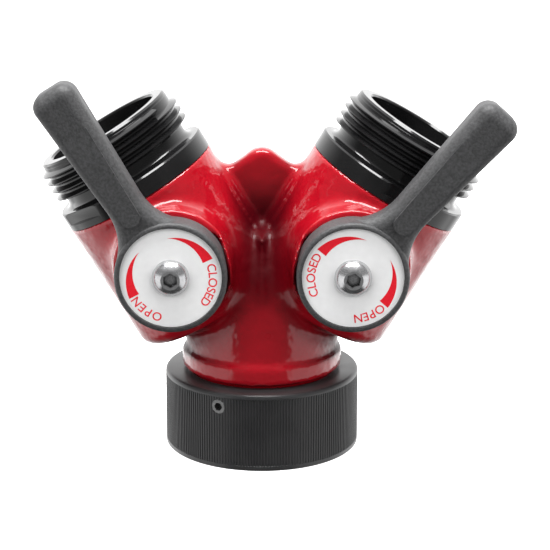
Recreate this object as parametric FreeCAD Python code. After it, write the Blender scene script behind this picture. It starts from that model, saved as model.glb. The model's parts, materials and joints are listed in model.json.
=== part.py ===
import FreeCAD, Part
import math
import os

# Gated wye for fire hose: one swivel inlet, two ball valves, two threaded outlets.
# The origin is the centre of the inlet face, +Z is up and the levers face -Y.
# All lengths are in millimetres and all angles in degrees.

# Clearances
RUN_GAP = 0.05
SLIDE_GAP = 0.10
LOOSE_GAP = 0.30
SHAFT_GAP = 0.06
SEAL_GAP = 0.04

# Hose thread of the outlets
THREAD_D = 50.54
THREAD_PITCH = 2.822
THREAD_DEPTH = 1.83
THREAD_CREST = 0.35
THREAD_TURNS = 4
THREAD_FLANK = 30.0

# Waterway
INLET_BORE_D = 38.1
OUTLET_BORE_D = 38.1
PORT_D = 32.8

# Branches
BRANCH_ANGLE = 31.2
BRANCH_CROSS_Z = 21.37
BALL_AT = 54.73
BRANCH_WALL = 3.3
BRANCH_ABOVE = 23.0
BRANCH_BELOW = 24.0
BRANCH_END_ROUND = 4.4
BRANCH_TOP_ROUND = 0.6

# Neck of the body, stepped out from the swivel spigot
RIM_STEP = 2.7
RIM_H = 5.2
RIM_ROUND = 0.7
NECK_STEP = 1.35
NECK_TOP_Z = 42.1
NECK_SLOPE_H = 1.9
NECK_WALL = 3.9

# Boss around each stem
BOSS_STEP = 1.5
BOSS_ROUND = 1.5
BOSS_FILLET = 2.9

# Web between the branches, placed from the inner top corner of a branch
WEB_THICK = 7.7
WEB_HUMP_H = 7.4
WEB_HUMP_ROUND = 6.4
WEB_DIP_BELOW = 6.7
WEB_DIP_INSET = 7.7
WEB_SINK = 7.6
WEB_EDGE_ROUND = 2.4
CAST_FILLET = 3.8

# Swivel inlet coupling
COUPLING_D = 64.8
COUPLING_ABOVE = 4.9
COUPLING_TOP_ROUND = 1.2
COUPLING_FOOT_ROUND = 0.3
INLET_THREAD_D = 47.2
INLET_THREAD_H = 10.5
GASKET_STEP = 2.3
GASKET_ID = 39.2
GASKET_H = 4.2
SWIVEL_D = 48.0
SWIVEL_GAP = 1.25
RACE_ABOVE = 2.6
RACE_BALL_D = 4.0
RACE_BALL_SPACE = 0.38
RACE_GAP = 0.12
SWIVEL_SEAL_ABOVE = 1.2
SWIVEL_SEAL_H = 1.8
SWIVEL_SEAL_DEPTH = 1.4
PLUG_D = 4.8
PLUG_BELOW = 0.4
PLUG_HEX = 2.5
PLUG_HEX_DEPTH = 2.4
PLUG_TURN = 26.3

# Ball and seats
BALL_D = 45.6
BALL_BORE_D = 31.8
BALL_GAP = 0.18
CHAMBER_GAP = 0.7
SEAT_OD = 40.8
SEAT_WALL = 4.0
SEAT_LIP = 0.9
SEAT_FLOOR = 3.1
SLOT_W = 6.2
SLOT_DEPTH = 3.3

# Outlet adapter
COLLAR_STEP = 0.1
COLLAR_H = 6.1
COLLAR_CHAMFER = 0.5
FLAT_CUT = 1.5
FLAT_H = 4.0
RELIEF_STEP = 1.04
RELIEF_H = 4.5
RELIEF_ROUND = 2.0
PILOT_STEP = 0.14
PILOT_H = 1.5
MOUTH_CHAMFER = 0.6
ADAPTER_SEAL_BELOW = 0.8
ADAPTER_SEAL_H = 2.2
ADAPTER_SEAL_DEPTH = 1.8
FLAT_TURN_LEFT = -45.0
FLAT_TURN_RIGHT = 10.0

# Stem
STEM_D = 14.0
STEM_FLANGE_D = 19.2
STEM_FLANGE_H = 2.0
TANG_L = 16.0
THRUST_H = 0.65
STEM_SEAL_H = 1.5
STEM_SEAL_DEPTH = 1.4
STEM_SEAL_PITCH = 2.3
STEM_SEAL_START = 0.8
STEM_SEAL_END = 0.9
SQUARE = 9.1

# Lever
LEVER_WASHER_EDGE = 0.6
LEVER_WASHER_H = 1.0
HUB_RING = 1.65
HUB_H = 10.5
HUB_ROUND = 1.2
LEVER_L = 69.2
LEVER_WAIST_W = 11.7
LEVER_WAIST_AT = 26.8
LEVER_TIP_W = 14.9
LEVER_FLARE_R = 18.8
LEVER_BACK_STEP = 1.2
LEVER_TIP_RISE = 2.1
LEVER_EDGE_ROUND = 2.0
LEVER_FRONT_ROUND = 4.0
LEVER_TIP_ROUND = 4.6
PANEL_INSET = 2.6
PANEL_RISE = 0.8
PANEL_AT = 20.0
PANEL_END = 54.0
PANEL_ROUND = 2.8
PANEL_SINK = 2.0
LEVER_TURN_LEFT = 0.8
LEVER_TURN_RIGHT = 10.3

# Quarter turn stop
QUARTER = 90.0
STOP_EDGE = 0.45
STOP_W = 3.2
STOP_SPAN = 20.0
STOP_REACH = 2.2
STOP_END_GAP = 0.6

# Dial plate and lever screw
DIAL_D = 31.8
DIAL_H = 0.8
DIAL_DEPTH = 1.7
SCREW_HEAD_D = 11.7
SCREW_HEAD_H = 3.4
SCREW_RIM_H = 0.41
SCREW_TOP_D = 6.07
SCREW_BULGE = 0.4
SCREW_SHANK_D = 5.0
SCREW_L = 8.0
SCREW_HEX = 4.2
SCREW_HEX_DEPTH = 2.1

# Swivel, from the inlet face up
SWIVEL_R = SWIVEL_D / 2
SWIVEL_BORE_R = SWIVEL_R + LOOSE_GAP
GASKET_OD = SWIVEL_D + 2 * GASKET_STEP
GASKET_SEAT_Z = INLET_THREAD_H + GASKET_H + LOOSE_GAP + SLIDE_GAP
SPIGOT_BOTTOM_Z = GASKET_SEAT_Z + LOOSE_GAP
SWIVEL_SEAL_Z = SPIGOT_BOTTOM_Z + SWIVEL_SEAL_ABOVE
RACE_Z = SWIVEL_SEAL_Z + SWIVEL_SEAL_H + RACE_ABOVE
RACE_R = SWIVEL_R + LOOSE_GAP / 2
RACE_BALL_COUNT = int(2 * math.pi * RACE_R / (RACE_BALL_D + RACE_BALL_SPACE))
COUPLING_H = RACE_Z + COUPLING_ABOVE
RIM_D = SWIVEL_D + 2 * RIM_STEP
RIM_BOTTOM_Z = COUPLING_H + SWIVEL_GAP
RIM_TOP_Z = RIM_BOTTOM_Z + RIM_H
NECK_D = SWIVEL_D + 2 * NECK_STEP

# Ball, seats and chamber, from the ball outward
BALL_R = BALL_D / 2
BALL_X = BALL_AT * math.sin(math.radians(BRANCH_ANGLE))
BALL_Z = BRANCH_CROSS_Z + BALL_AT * math.cos(math.radians(BRANCH_ANGLE))
CHAMBER_R = BALL_R + CHAMBER_GAP
PORT_R = PORT_D / 2
SEAT_R = SEAT_OD / 2
SEAT_IN_R = SEAT_R - SEAT_WALL
SEAT_POCKET_R = SEAT_R + SLIDE_GAP
SEAT_NEAR = math.sqrt((BALL_R + BALL_GAP) ** 2 - SEAT_R ** 2) + SEAT_LIP
SEAT_FAR = math.sqrt((BALL_R + BALL_GAP) ** 2 - SEAT_IN_R ** 2) + SEAT_FLOOR
BRANCH_D = 2 * (CHAMBER_R + BRANCH_WALL)

# Inner top corner of a branch, where the web meets it
CORNER_X = BALL_X + BRANCH_ABOVE * math.sin(math.radians(BRANCH_ANGLE))
CORNER_X = CORNER_X - BRANCH_D / 2 * math.cos(math.radians(BRANCH_ANGLE))
CORNER_Z = BALL_Z + BRANCH_ABOVE * math.cos(math.radians(BRANCH_ANGLE))
CORNER_Z = CORNER_Z + BRANCH_D / 2 * math.sin(math.radians(BRANCH_ANGLE))
WEB_DIP_X = CORNER_X - WEB_DIP_INSET
WEB_DIP_Z = CORNER_Z - WEB_DIP_BELOW
WEB_HUMP_Z = WEB_DIP_Z + WEB_HUMP_H

# Outlet adapter, from the branch end outward
COLLAR_D = BRANCH_D - 2 * COLLAR_STEP
COLLAR_TOP = BRANCH_ABOVE + COLLAR_H
FLAT_ACROSS = COLLAR_D - 2 * FLAT_CUT
THREAD_R = THREAD_D / 2
THREAD_ROOT_R = THREAD_R - THREAD_DEPTH
FLANK_H = THREAD_DEPTH * math.tan(math.radians(THREAD_FLANK))
THREAD_START = COLLAR_TOP + RELIEF_H
FIRST_CREST = THREAD_START + FLANK_H + THREAD_CREST / 2
THREAD_END = FIRST_CREST + (THREAD_TURNS - 1) * THREAD_PITCH + THREAD_CREST / 2 + FLANK_H
ADAPTER_END = THREAD_END + PILOT_H
RELIEF_R = THREAD_ROOT_R - RELIEF_STEP
PILOT_R = THREAD_ROOT_R - PILOT_STEP
ADAPTER_SEAL_AT = BRANCH_ABOVE - ADAPTER_SEAL_BELOW - ADAPTER_SEAL_H

# Stem, boss and lever, from the ball forward
STEM_R = STEM_D / 2
TANG_END = BALL_R - SLOT_DEPTH + LOOSE_GAP
FLANGE_BACK = CHAMBER_R - SLIDE_GAP
FLANGE_FRONT = FLANGE_BACK + STEM_FLANGE_H
THRUST_FRONT = FLANGE_FRONT + THRUST_H + RUN_GAP
STEM_SEAL_LOW = THRUST_FRONT + STEM_SEAL_START
BOSS_FACE = STEM_SEAL_LOW + STEM_SEAL_PITCH + STEM_SEAL_H + STEM_SEAL_END
WASHER_BACK = BOSS_FACE + RUN_GAP
HUB_BACK = WASHER_BACK + LEVER_WASHER_H
HUB_FRONT = HUB_BACK + HUB_H
HUB_D = DIAL_D + 2 * SLIDE_GAP + 2 * HUB_RING
BOSS_D = HUB_D + 2 * BOSS_STEP
STOP_OUT_R = HUB_D / 2 - STOP_EDGE
STOP_IN_R = STOP_OUT_R - STOP_W
LEVER_WASHER_R = STOP_IN_R - LEVER_WASHER_EDGE
LEVER_BACK = HUB_BACK + LEVER_BACK_STEP
LEVER_TIP_FRONT = HUB_FRONT + LEVER_TIP_RISE
DIAL_FLOOR = HUB_FRONT - DIAL_DEPTH
DIAL_FACE = DIAL_FLOOR + DIAL_H
SQUARE_END = DIAL_FLOOR - LOOSE_GAP

ORIGIN = FreeCAD.Vector(0, 0, 0)
AXIS_X = FreeCAD.Vector(1, 0, 0)
AXIS_Y = FreeCAD.Vector(0, 1, 0)
AXIS_Z = FreeCAD.Vector(0, 0, 1)


def flat_point(a, b):
    # A point of a profile, with a across and b up, in the XZ plane.
    return FreeCAD.Vector(a, 0, b)


def round_wire(corners):
    # A closed outline through (across, up, radius) corners with the given roundings.
    count = len(corners)
    starts = []
    ends = []
    mids = []
    for i in range(count):
        here = flat_point(corners[i][0], corners[i][1])
        before = flat_point(corners[i - 1][0], corners[i - 1][1])
        after = flat_point(corners[(i + 1) % count][0], corners[(i + 1) % count][1])
        radius = corners[i][2]
        to_before = (before - here).normalize()
        to_after = (after - here).normalize()
        half = to_before.getAngle(to_after) / 2
        reach = radius / math.tan(half)
        starts.append(here + to_before * reach)
        ends.append(here + to_after * reach)
        middle = to_before + to_after
        if radius > 0:
            middle.normalize()
            mids.append(here + middle * (radius / math.sin(half) - radius))
        else:
            mids.append(here)
    edges = []
    for i in range(count):
        if corners[i][2] > 0:
            edges.append(Part.Arc(starts[i], mids[i], ends[i]).toShape())
        gap = starts[(i + 1) % count] - ends[i]
        if gap.Length > 1e-6:
            edges.append(Part.LineSegment(ends[i], starts[(i + 1) % count]).toShape())
    return Part.Wire(edges)


def turned_ring(corners):
    # A solid of revolution about Z from a rounded half profile.
    return Part.Face(round_wire(corners)).revolve(ORIGIN, AXIS_Z, 360)


def tube(outer_r, inner_r, low, high):
    # A plain ring about Z.
    return turned_ring([(inner_r, low, 0), (outer_r, low, 0), (outer_r, high, 0), (inner_r, high, 0)])


def rod(radius, low, high):
    # A plain cylinder about Z.
    return Part.makeCylinder(radius, high - low, FreeCAD.Vector(0, 0, low))


def hexagon(across, low, high):
    # A hexagonal prism about Z.
    corner_r = across / math.sqrt(3)
    points = []
    for i in range(7):
        angle = math.radians(60 * i)
        points.append(FreeCAD.Vector(corner_r * math.cos(angle), corner_r * math.sin(angle), low))
    return Part.Face(Part.makePolygon(points)).extrude(FreeCAD.Vector(0, 0, high - low))


def box(size_x, size_y, low, high):
    # A block centred on Z.
    corner = FreeCAD.Vector(-size_x / 2, -size_y / 2, low)
    return Part.makeBox(size_x, size_y, high - low, corner)


def sector(inner_r, outer_r, start, span, low, high):
    # Part of a ring about Z, from the start angle through the span.
    corners = [(inner_r, low, 0), (outer_r, low, 0), (outer_r, high, 0), (inner_r, high, 0)]
    piece = Part.Face(round_wire(corners)).revolve(ORIGIN, AXIS_Z, span)
    piece.rotate(ORIGIN, AXIS_Z, start)
    return piece


def forward(shape):
    # Turns a piece built upwards about Z so that it points to -Y.
    shape.rotate(ORIGIN, AXIS_X, 90)
    return shape


def on_branch(shape, side):
    # Moves a piece built about the ball centre to its branch: 1 is right, -1 is left.
    shape.rotate(ORIGIN, AXIS_Y, side * BRANCH_ANGLE)
    shape.translate(FreeCAD.Vector(side * BALL_X, 0, BALL_Z))
    return shape


def lever_turn(side):
    # How far each lever stands outward of its branch.
    if side > 0:
        return LEVER_TURN_RIGHT
    return LEVER_TURN_LEFT


def on_stem(shape, side):
    # Moves a piece built upwards about the stem axis to its valve, turned with the lever.
    shape.rotate(ORIGIN, AXIS_Z, -side * lever_turn(side))
    return on_branch(forward(shape), side)


def branch_outer():
    # Branch barrel with the boss for the stem and the rounding between them.
    radius = BRANCH_D / 2
    barrel = turned_ring([
        (0, -BRANCH_BELOW, 0),
        (radius, -BRANCH_BELOW, BRANCH_END_ROUND),
        (radius, BRANCH_ABOVE, BRANCH_TOP_ROUND),
        (0, BRANCH_ABOVE, 0),
    ])
    boss = forward(turned_ring([
        (0, 0, 0),
        (BOSS_D / 2, 0, 0),
        (BOSS_D / 2, BOSS_FACE, BOSS_ROUND),
        (0, BOSS_FACE, 0),
    ]))
    unit = barrel.fuse(boss)
    seam = []
    for edge in unit.Edges:
        middle = edge.valueAt((edge.FirstParameter + edge.LastParameter) / 2)
        from_stem = math.hypot(middle.x, middle.z)
        from_axis = math.hypot(middle.x, middle.y)
        on_boss = abs(from_stem - BOSS_D / 2) < 0.01
        on_barrel = abs(from_axis - radius) < 0.01
        if on_boss and on_barrel:
            seam.append(edge)
    return unit.makeFillet(BOSS_FILLET, seam)


def neck_outer():
    # Neck with its rim below, the swivel spigot under the rim and a round top.
    radius = NECK_D / 2
    low_wire = round_wire([
        (0, SPIGOT_BOTTOM_Z, 0),
        (SWIVEL_R, SPIGOT_BOTTOM_Z, 0),
        (SWIVEL_R, RIM_BOTTOM_Z, 0),
        (RIM_D / 2, RIM_BOTTOM_Z, RIM_ROUND),
        (RIM_D / 2, RIM_TOP_Z, RIM_ROUND),
        (radius, RIM_TOP_Z + NECK_SLOPE_H, 0),
        (radius, NECK_TOP_Z, 0),
        (0, NECK_TOP_Z, 0),
    ])
    low = Part.Face(low_wire).revolve(ORIGIN, AXIS_Z, 360)
    dome = Part.makeSphere(radius, FreeCAD.Vector(0, 0, NECK_TOP_Z), AXIS_Z, 0, 90, 360)
    return low.fuse(dome)


def web_outer():
    # Web plate between the branches with a hump in the middle of its top edge.
    side_x = WEB_DIP_X + WEB_SINK
    corners = [
        (0, NECK_TOP_Z, 0),
        (side_x, WEB_DIP_Z, 0),
        (WEB_DIP_X, WEB_DIP_Z, WEB_HUMP_ROUND / 2),
        (0, WEB_HUMP_Z, WEB_HUMP_ROUND),
        (-WEB_DIP_X, WEB_DIP_Z, WEB_HUMP_ROUND / 2),
        (-side_x, WEB_DIP_Z, 0),
    ]
    plate = Part.Face(round_wire(corners)).extrude(FreeCAD.Vector(0, WEB_THICK, 0))
    plate.translate(FreeCAD.Vector(0, -WEB_THICK / 2, 0))
    top_edges = []
    for edge in plate.Edges:
        middle = edge.valueAt((edge.FirstParameter + edge.LastParameter) / 2)
        along = edge.BoundBox.YLength < 0.001
        if along and middle.z > WEB_DIP_Z - 0.01:
            top_edges.append(edge)
    return plate.makeFillet(WEB_EDGE_ROUND, top_edges)


def stop_groove(side):
    # Arc slot in the boss face that lets the lever turn a quarter.
    inner_r = STOP_IN_R - LOOSE_GAP
    outer_r = STOP_OUT_R + LOOSE_GAP
    span = QUARTER + STOP_SPAN + 2 * STOP_END_GAP
    start = 270 - STOP_SPAN / 2 - STOP_END_GAP
    if side > 0:
        start = 270 + STOP_SPAN / 2 + STOP_END_GAP - span
    floor = BOSS_FACE - STOP_REACH - LOOSE_GAP
    return on_branch(forward(sector(inner_r, outer_r, start, span, floor, BOSS_FACE + 1)), side)


def branch_hollow(side):
    # Valve chamber, seat pocket, port and stem bore of one branch.
    chamber = rod(CHAMBER_R, -SEAT_NEAR, BRANCH_ABOVE + 1)
    pocket = rod(SEAT_POCKET_R, -SEAT_FAR - RUN_GAP, -SEAT_NEAR + 1)
    port = rod(PORT_R, -SEAT_FAR - 2, -SEAT_FAR + 1)
    bore = forward(rod(STEM_R + SHAFT_GAP, 0, BOSS_FACE + 1))
    flange = forward(rod(STEM_FLANGE_D / 2 + LOOSE_GAP, 0, THRUST_FRONT))
    sweep = Part.makeSphere(BALL_R + LOOSE_GAP)
    hollow = chamber.fuse([pocket, port, bore, flange, sweep])
    return on_branch(hollow, side)


def branch_passage(side):
    # Water path from the neck to the port, kept inside the neck wall.
    passage = on_branch(rod(PORT_R, -BALL_AT, -SEAT_FAR), side)
    limit = rod(NECK_D / 2 - NECK_WALL, SPIGOT_BOTTOM_Z, BALL_Z)
    above = Part.makeBox(200, 200, 200, FreeCAD.Vector(-100, -100, BRANCH_CROSS_Z))
    return passage.common(limit).common(above)


def cast_creases(solid):
    # Edges above the neck where two faces of the casting meet at a sharp angle.
    found = []
    for edge in solid.Edges:
        faces = solid.ancestorsOfType(edge, Part.Face)
        if len(faces) != 2:
            continue
        middle = edge.valueAt((edge.FirstParameter + edge.LastParameter) / 2)
        normals = []
        for face in faces:
            across, along = face.Surface.parameter(middle)
            normals.append(face.normalAt(across, along))
        sharp = math.degrees(normals[0].getAngle(normals[1])) > 20
        if sharp and middle.z > RIM_TOP_Z + NECK_SLOPE_H + 0.1:
            found.append(edge)
    return found


def wye_body():
    # Cast body: neck, two branches with bosses, web, then every hollow cut out.
    right = on_branch(branch_outer(), 1)
    left = on_branch(branch_outer(), -1)
    solid = neck_outer().fuse([right, left, web_outer()])
    solid = solid.removeSplitter()
    solid = solid.makeFillet(CAST_FILLET, cast_creases(solid))
    inlet = rod(INLET_BORE_D / 2, SPIGOT_BOTTOM_Z - 1, NECK_TOP_Z)
    seal_low = SWIVEL_SEAL_Z
    seal_high = SWIVEL_SEAL_Z + SWIVEL_SEAL_H
    seal_groove = tube(SWIVEL_R + 1, SWIVEL_R - SWIVEL_SEAL_DEPTH, seal_low, seal_high)
    race = Part.makeTorus(RACE_R, RACE_BALL_D / 2 + RACE_GAP, FreeCAD.Vector(0, 0, RACE_Z))
    cuts = [inlet, seal_groove, race]
    for side in (-1, 1):
        cuts.append(branch_hollow(side))
        cuts.append(branch_passage(side))
        cuts.append(stop_groove(side))
    for cut in cuts:
        solid = solid.cut(cut)
    return solid


def coupling():
    # Swivel coupling that turns on the spigot and screws onto a hose.
    ring = turned_ring([
        (INLET_THREAD_D / 2, 0, 0),
        (COUPLING_D / 2, 0, COUPLING_FOOT_ROUND),
        (COUPLING_D / 2, COUPLING_H, COUPLING_TOP_ROUND),
        (SWIVEL_BORE_R, COUPLING_H, 0),
        (SWIVEL_BORE_R, GASKET_SEAT_Z, 0),
        (GASKET_OD / 2 + SLIDE_GAP, GASKET_SEAT_Z, 0),
        (GASKET_OD / 2 + SLIDE_GAP, INLET_THREAD_H, 0),
        (INLET_THREAD_D / 2, INLET_THREAD_H, 0),
    ])
    race = Part.makeTorus(RACE_R, RACE_BALL_D / 2 + RACE_GAP, FreeCAD.Vector(0, 0, RACE_Z))
    hole = plug_place(rod(PLUG_D / 2, RACE_R, COUPLING_D / 2 + 1))
    return ring.cut(race).cut(hole)


def plug_place(shape):
    # Lays a piece built upwards about Z along the loading hole of the ball race.
    forward(shape)
    shape.rotate(ORIGIN, AXIS_Z, -PLUG_TURN)
    shape.translate(FreeCAD.Vector(0, 0, RACE_Z))
    return shape


def race_plug():
    # Set screw that closes the loading hole.
    low = RACE_R + RACE_BALL_D / 2 + RACE_GAP + RUN_GAP
    high = COUPLING_D / 2 - PLUG_BELOW
    plug = rod(PLUG_D / 2 - RUN_GAP, low, high)
    return plug_place(plug.cut(hexagon(PLUG_HEX, high - PLUG_HEX_DEPTH, high + 1)))


def race_balls():
    # The steel balls that hold the coupling on the spigot.
    balls = []
    for i in range(RACE_BALL_COUNT):
        angle = 2 * math.pi * i / RACE_BALL_COUNT
        centre = FreeCAD.Vector(RACE_R * math.cos(angle), RACE_R * math.sin(angle), RACE_Z)
        balls.append(Part.makeSphere(RACE_BALL_D / 2, centre))
    return Part.makeCompound(balls)


def inlet_gasket():
    # Flat rubber gasket in the bottom of the inlet socket.
    low = INLET_THREAD_H + SLIDE_GAP
    return tube(GASKET_OD / 2, GASKET_ID / 2, low, low + GASKET_H)


def swivel_seal():
    # Rubber ring in the spigot groove.
    inner_r = SWIVEL_R - SWIVEL_SEAL_DEPTH + RUN_GAP
    low = SWIVEL_SEAL_Z + RUN_GAP
    high = SWIVEL_SEAL_Z + SWIVEL_SEAL_H - RUN_GAP
    return tube(SWIVEL_BORE_R - SEAL_GAP, inner_r, low, high)


def adapter(side):
    # Outlet adapter: seat spigot, collar with two spanner flats, relief, thread and pilot.
    bore_r = OUTLET_BORE_D / 2
    collar_r = COLLAR_D / 2
    spigot_r = CHAMBER_R - SLIDE_GAP
    seal_floor = spigot_r - ADAPTER_SEAL_DEPTH
    corners = [
        (bore_r, SEAT_FAR, 0),
        (SEAT_POCKET_R, SEAT_FAR, 0),
        (SEAT_POCKET_R, SEAT_NEAR, 0),
        (spigot_r, SEAT_NEAR, 0),
        (spigot_r, ADAPTER_SEAL_AT, 0),
        (seal_floor, ADAPTER_SEAL_AT, 0),
        (seal_floor, ADAPTER_SEAL_AT + ADAPTER_SEAL_H, 0),
        (spigot_r, ADAPTER_SEAL_AT + ADAPTER_SEAL_H, 0),
        (spigot_r, BRANCH_ABOVE, 0),
        (collar_r, BRANCH_ABOVE, 0),
        (collar_r, COLLAR_TOP - COLLAR_CHAMFER, 0),
        (collar_r - COLLAR_CHAMFER, COLLAR_TOP, 0),
        (RELIEF_R, COLLAR_TOP, RELIEF_ROUND),
        (RELIEF_R, THREAD_START, 0),
    ]
    for i in range(THREAD_TURNS):
        crest = FIRST_CREST + i * THREAD_PITCH
        corners.append((THREAD_ROOT_R, crest - THREAD_CREST / 2 - FLANK_H, 0))
        corners.append((THREAD_R, crest - THREAD_CREST / 2, 0))
        corners.append((THREAD_R, crest + THREAD_CREST / 2, 0))
        corners.append((THREAD_ROOT_R, crest + THREAD_CREST / 2 + FLANK_H, 0))
    corners.append((PILOT_R, THREAD_END, 0))
    corners.append((PILOT_R, ADAPTER_END - MOUTH_CHAMFER, 0))
    corners.append((PILOT_R - MOUTH_CHAMFER, ADAPTER_END, 0))
    corners.append((bore_r + MOUTH_CHAMFER, ADAPTER_END, 0))
    corners.append((bore_r, ADAPTER_END - MOUTH_CHAMFER, 0))
    piece = turned_ring(corners)
    turn = FLAT_TURN_LEFT
    if side > 0:
        turn = FLAT_TURN_RIGHT
    flat_corner = FreeCAD.Vector(-collar_r, FLAT_ACROSS / 2, COLLAR_TOP - FLAT_H)
    for offset in (0, 180):
        cutter = Part.makeBox(COLLAR_D, COLLAR_D, FLAT_H, flat_corner)
        cutter.rotate(ORIGIN, AXIS_Z, 180 + turn + offset)
        piece = piece.cut(cutter)
    return on_branch(piece, side)


def adapter_seal(side):
    # Rubber ring between the adapter spigot and the branch.
    outer_r = CHAMBER_R - SEAL_GAP
    inner_r = CHAMBER_R - SLIDE_GAP - ADAPTER_SEAL_DEPTH + RUN_GAP
    low = ADAPTER_SEAL_AT + RUN_GAP
    high = ADAPTER_SEAL_AT + ADAPTER_SEAL_H - RUN_GAP
    return on_branch(tube(outer_r, inner_r, low, high), side)


def seat(side, end):
    # Plastic seat ring with a hollow that follows the ball: end 1 is outer, -1 is inner.
    ring = tube(SEAT_R, SEAT_IN_R, SEAT_NEAR, SEAT_FAR)
    ring = ring.cut(Part.makeSphere(BALL_R + BALL_GAP))
    if end < 0:
        ring.rotate(ORIGIN, AXIS_X, 180)
    return on_branch(ring, side)


def valve_ball(side):
    # Ball with its bore along the branch when open and a slot for the stem.
    ball = Part.makeSphere(BALL_R)
    ball = ball.cut(rod(BALL_BORE_D / 2, -BALL_D, BALL_D))
    slot_corner = FreeCAD.Vector(-BALL_R, -BALL_R - 1, -SLOT_W / 2)
    slot = Part.makeBox(BALL_D, SLOT_DEPTH + 1, SLOT_W, slot_corner)
    ball = ball.cut(slot)
    ball.rotate(ORIGIN, AXIS_Y, side * lever_turn(side))
    return on_branch(ball, side)


def stem(side):
    # Stem: tang in the ball, flange inside the body, two seal grooves and a square end.
    tang = box(TANG_L, SLOT_W - 2 * SLIDE_GAP, TANG_END, FLANGE_BACK)
    flange = rod(STEM_FLANGE_D / 2, FLANGE_BACK, FLANGE_FRONT)
    shaft = rod(STEM_R, FLANGE_FRONT, HUB_BACK)
    square = box(SQUARE, SQUARE, HUB_BACK, SQUARE_END)
    piece = tang.fuse([flange, shaft, square])
    for i in range(2):
        low = STEM_SEAL_LOW + i * STEM_SEAL_PITCH
        piece = piece.cut(tube(STEM_R + 1, STEM_R - STEM_SEAL_DEPTH, low, low + STEM_SEAL_H))
    hole_low = DIAL_FACE - SCREW_L - 1
    piece = piece.cut(rod(SCREW_SHANK_D / 2 + RUN_GAP, hole_low, SQUARE_END + 1))
    return on_stem(piece, side)


def stem_seals(side):
    # Two rubber rings in the stem grooves.
    rings = []
    for i in range(2):
        low = STEM_SEAL_LOW + i * STEM_SEAL_PITCH + RUN_GAP
        inner_r = STEM_R - STEM_SEAL_DEPTH + RUN_GAP
        high = low + STEM_SEAL_H - 2 * RUN_GAP
        rings.append(on_stem(tube(STEM_R + SHAFT_GAP - SEAL_GAP, inner_r, low, high), side))
    return Part.makeCompound(rings)


def thrust_washer(side):
    # Plastic washer between the stem flange and the body.
    inner_r = STEM_R + SLIDE_GAP
    ring = tube(STEM_FLANGE_D / 2, inner_r, FLANGE_FRONT, FLANGE_FRONT + THRUST_H)
    return on_stem(ring, side)


def lever_washer(side):
    # Plastic washer between the boss and the lever.
    ring = tube(LEVER_WASHER_R, STEM_R + SLIDE_GAP, WASHER_BACK, HUB_BACK)
    return on_stem(ring, side)


def arm_slope():
    # How much half the width of the arm grows for each millimetre from the hub.
    return (LEVER_TIP_W - LEVER_WAIST_W) / 2 / (LEVER_L - LEVER_WAIST_AT)


def arm_half(along, inset):
    # Half the width of the straight part of the arm, less an inset.
    half = LEVER_WAIST_W / 2 + arm_slope() * (along - LEVER_WAIST_AT)
    return half - inset / math.cos(math.atan(arm_slope()))


def arm_outline():
    # Outline of the lever arm seen from the front: flared foot, straight sides, square tip.
    hub_r = HUB_D / 2
    slope = arm_slope()
    lean = math.atan(slope)
    across = arm_half(0, 0) + LEVER_FLARE_R / math.cos(lean)
    reach = hub_r + LEVER_FLARE_R
    qa = 1 + slope * slope
    qb = across * slope
    qc = across * across - reach * reach
    flare_u = (-qb + math.sqrt(qb * qb - qa * qc)) / qa
    flare_w = across + slope * flare_u
    flare = FreeCAD.Vector(flare_w, flare_u, 0)
    to_hub = FreeCAD.Vector(-flare_w, -flare_u, 0).normalize()
    to_side = FreeCAD.Vector(-math.cos(lean), math.sin(lean), 0)
    half_way = (to_hub + to_side).normalize()
    corner = FreeCAD.Vector(arm_half(LEVER_L, 0), LEVER_L, 0)
    down = FreeCAD.Vector(-math.sin(lean), -math.cos(lean), 0)
    inward = FreeCAD.Vector(-1, 0, 0)
    half = down.getAngle(inward) / 2
    reach_back = LEVER_TIP_ROUND / math.tan(half)
    bulge = LEVER_TIP_ROUND / math.sin(half) - LEVER_TIP_ROUND
    right = [
        flare + to_hub * LEVER_FLARE_R,
        flare + half_way * LEVER_FLARE_R,
        flare + to_side * LEVER_FLARE_R,
        corner + down * reach_back,
        corner + (down + inward).normalize() * bulge,
        corner + inward * reach_back,
    ]
    left = [FreeCAD.Vector(-p.x, p.y, 0) for p in right]
    edges = [
        Part.LineSegment(left[0], right[0]).toShape(),
        Part.Arc(right[0], right[1], right[2]).toShape(),
        Part.LineSegment(right[2], right[3]).toShape(),
        Part.Arc(right[3], right[4], right[5]).toShape(),
        Part.LineSegment(right[5], left[5]).toShape(),
        Part.Arc(left[5], left[4], left[3]).toShape(),
        Part.LineSegment(left[3], left[2]).toShape(),
        Part.Arc(left[2], left[1], left[0]).toShape(),
    ]
    return Part.Face(Part.Wire(edges))


def panel_outline():
    # Outline of the raised panel: inside the straight sides, with a round foot.
    foot = arm_half(PANEL_AT, PANEL_INSET)
    end = arm_half(PANEL_END, PANEL_INSET)
    wire = round_wire([
        (-foot, PANEL_AT, PANEL_ROUND),
        (foot, PANEL_AT, PANEL_ROUND),
        (end, PANEL_END, 0),
        (-end, PANEL_END, 0),
    ])
    wire.rotate(ORIGIN, AXIS_X, -90)
    return Part.Face(wire)


def side_cut(points):
    # A block with the given (along, forward) outline, wide enough to trim the arm.
    wire = Part.makePolygon([FreeCAD.Vector(-HUB_D, p[0], p[1]) for p in points + points[:1]])
    return Part.Face(wire).extrude(FreeCAD.Vector(2 * HUB_D, 0, 0))


def front_at(along):
    # How far forward the face of the arm is at a distance from the hub centre.
    share = (along - LEVER_WAIST_AT) / (LEVER_L - LEVER_WAIST_AT)
    return HUB_FRONT + share * (LEVER_TIP_FRONT - HUB_FRONT)


def back_at(along):
    # How far forward the back of the arm is: the same all along.
    return LEVER_BACK


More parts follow.
